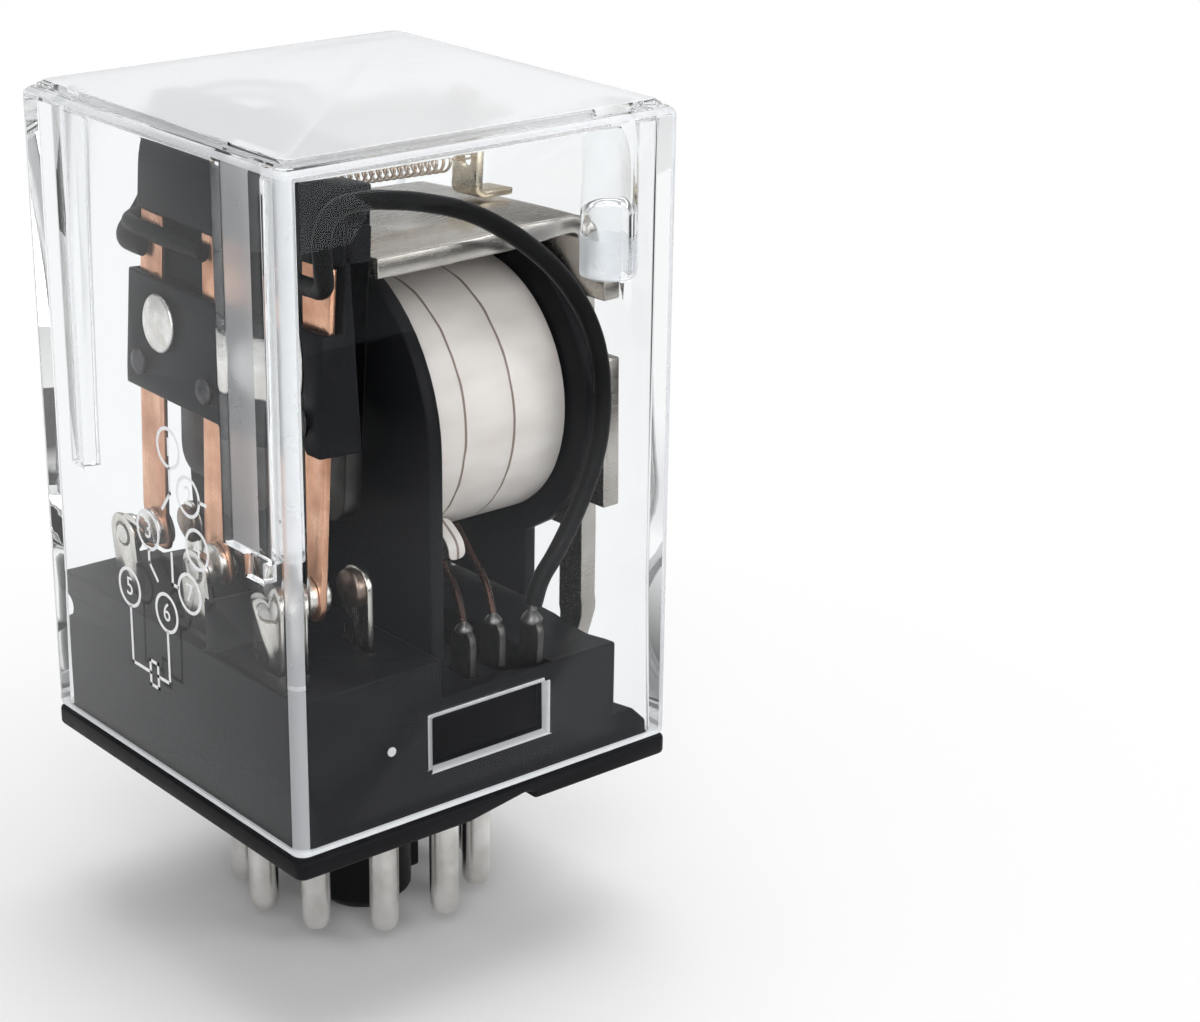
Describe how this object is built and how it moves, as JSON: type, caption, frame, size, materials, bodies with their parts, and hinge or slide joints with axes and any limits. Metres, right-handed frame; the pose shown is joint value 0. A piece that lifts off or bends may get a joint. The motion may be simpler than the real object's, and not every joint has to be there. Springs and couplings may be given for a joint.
{
  "type": "plug-in control relay",
  "caption": "Plug-in control relay with a clear clip-on cover, a round pin plug, a coil with a hinged armature and changeover contacts.",
  "frame": {"origin": "on the plug's axis, in the plane where the base seats on its socket", "axes": "+Z along the plug axis away from the socket, towards the cover's top; -X is the contact side, +X the yoke side; -Y the pictured side with the snap window; the guide key points to +X"},
  "size_m": [0.035, 0.035, 0.0667],
  "materials": {
    "clear_plastic": "clear polished",
    "black_moulding": "moulded satin",
    "nickel_plate": "nickel plated",
    "copper": "bare copper alloy",
    "enamelled_copper": "enamelled",
    "silver": "silver alloy, satin",
    "dark_steel": "black oxide",
    "coil_tape": "paper-like tape",
    "lead_sleeve": "satin insulation",
    "spring_wire": "drawn wire",
    "anchor_plate": "plated"
  },
  "bodies": {
    "relay_body": {"base": "black_moulding", "pin_01": "nickel_plate", "pin_02": "nickel_plate", "pin_03": "nickel_plate", "pin_04": "nickel_plate", "pin_05": "nickel_plate", "pin_06": "nickel_plate", "pin_07": "nickel_plate", "pin_08": "nickel_plate", "pin_09": "nickel_plate", "pin_10": "nickel_plate", "pin_11": "nickel_plate", "cover": "clear_plastic", "yoke": "nickel_plate", "core": "nickel_plate", "bobbin": "black_moulding", "winding": "enamelled_copper", "coil_tape": "coil_tape", "closed_terminal_1": "nickel_plate", "closed_terminal_2": "nickel_plate", "closed_terminal_3": "nickel_plate", "open_terminal_1": "nickel_plate", "open_terminal_2": "nickel_plate", "open_terminal_3": "nickel_plate", "closed_contact_1": "silver", "closed_contact_2": "silver", "closed_contact_3": "silver", "open_contact_1": "silver", "open_contact_2": "silver", "open_contact_3": "silver", "common_lug_1": "nickel_plate", "common_lug_2": "nickel_plate", "common_lug_3": "nickel_plate", "coil_lug_1": "nickel_plate", "coil_lug_2": "nickel_plate", "spring_anchor": "anchor_plate", "return_spring": "spring_wire", "lead_1": "lead_sleeve", "lead_2": "lead_sleeve", "lead_3": "lead_sleeve", "coil_wire_1": "copper", "coil_wire_2": "copper"},
    "armature": {"armature": "nickel_plate", "contact_carrier": "black_moulding", "moving_blade_1": "copper", "moving_blade_2": "copper", "moving_blade_3": "copper", "moving_contact_1": "silver", "moving_contact_2": "silver", "moving_contact_3": "silver", "blade_rivet_1": "dark_steel", "blade_rivet_2": "dark_steel", "blade_rivet_3": "dark_steel", "carrier_rivet_1": "silver", "carrier_rivet_2": "silver"}
  },
  "joints": [
    {"name": "armature_hinge", "type": "hinge", "parent": "relay_body", "child": "armature", "pos_m": [-0.00505, 0, 0.0431], "axis": [0, -1, 0], "range_deg": [0, 3.4], "stiffness_Nm_per_rad": 0.02, "springref_deg": -8.59, "deforming": ["return_spring"]}
  ]
}
